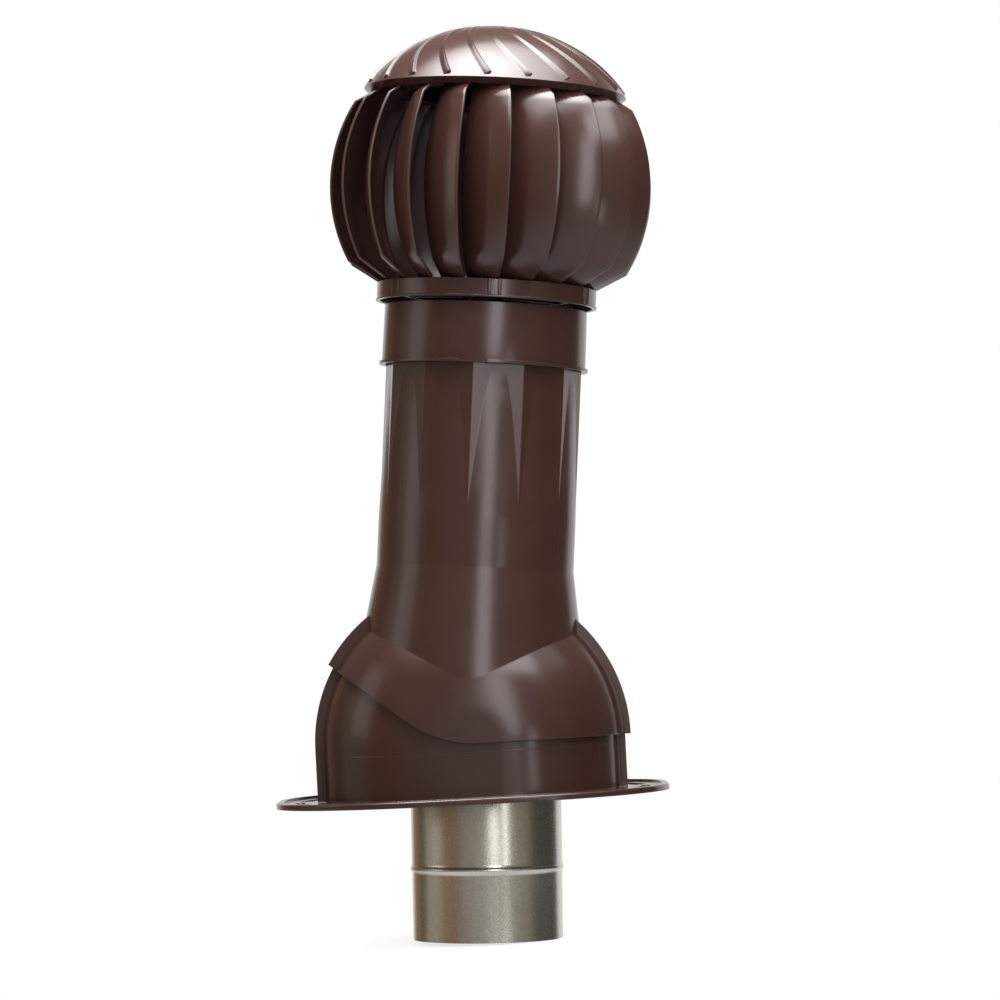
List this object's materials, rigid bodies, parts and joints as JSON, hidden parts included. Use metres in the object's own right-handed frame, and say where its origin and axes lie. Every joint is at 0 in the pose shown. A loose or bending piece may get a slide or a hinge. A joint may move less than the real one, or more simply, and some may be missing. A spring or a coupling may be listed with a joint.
{
  "type": "roof turbine ventilator",
  "caption": "Roof ventilator: flange with a rounded hump, a pipe that tilts on it to suit the roof slope, a metal duct inside and a free-spinning turbine of curved vanes on top.",
  "frame": {"origin": "middle of the flange's underside, below the line that the pipe tilts about", "axes": "+Z is the flange's upward normal, +X runs towards the side that the pipe leans to at rest, and the tilt line runs along Y"},
  "size_m": [0.3378, 0.306, 0.7602],
  "materials": {
    "brown_plastic": "satin moulded, chocolate brown",
    "black_plastic": "moulded, black",
    "galvanised_sheet": "hot-dip galvanised sheet",
    "foam": "closed-cell insulation foam",
    "zinc_screws": "zinc plated",
    "bearing_steel": "ground bearing steel"
  },
  "bodies": {
    "base": {"flange_base": "brown_plastic"},
    "pipe": {"outer_pipe": "brown_plastic", "inner_duct": "galvanised_sheet", "insulation_sleeve": "foam", "turbine_collar": "brown_plastic", "bearing_spider": "black_plastic", "spider_screws": "zinc_screws", "axle": "zinc_screws", "axle_nuts": "zinc_screws", "axle_washers": "zinc_screws", "lower_bearing_inner": "bearing_steel", "upper_bearing_inner": "bearing_steel"},
    "rotor": {"lower_bearing_outer": "bearing_steel", "upper_bearing_outer": "bearing_steel", "lower_ring": "brown_plastic", "rotor_spider": "black_plastic", "upper_ring": "brown_plastic", "dome_cap": "brown_plastic", "cap_hub": "black_plastic", "cap_screws": "zinc_screws", "vane_01": "brown_plastic", "vane_02": "brown_plastic", "vane_03": "brown_plastic", "vane_04": "brown_plastic", "vane_05": "brown_plastic", "vane_06": "brown_plastic", "vane_07": "brown_plastic", "vane_08": "brown_plastic", "vane_09": "brown_plastic", "vane_10": "brown_plastic", "vane_11": "brown_plastic", "vane_12": "brown_plastic", "vane_13": "brown_plastic", "vane_14": "brown_plastic", "vane_15": "brown_plastic", "vane_16": "brown_plastic", "vane_17": "brown_plastic", "vane_18": "brown_plastic", "vane_19": "brown_plastic", "vane_20": "brown_plastic"}
  },
  "joints": [
    {"name": "slope", "type": "hinge", "parent": "base", "child": "pipe", "pos_m": [0, 0, 0.048], "axis": [0, -1, 0], "range_deg": [0, 30]},
    {"name": "spin", "type": "hinge", "parent": "pipe", "child": "rotor", "pos_m": [0.0413, 0, 0.50615], "axis": [0.0941, 0, 0.9956], "continuous": true}
  ]
}
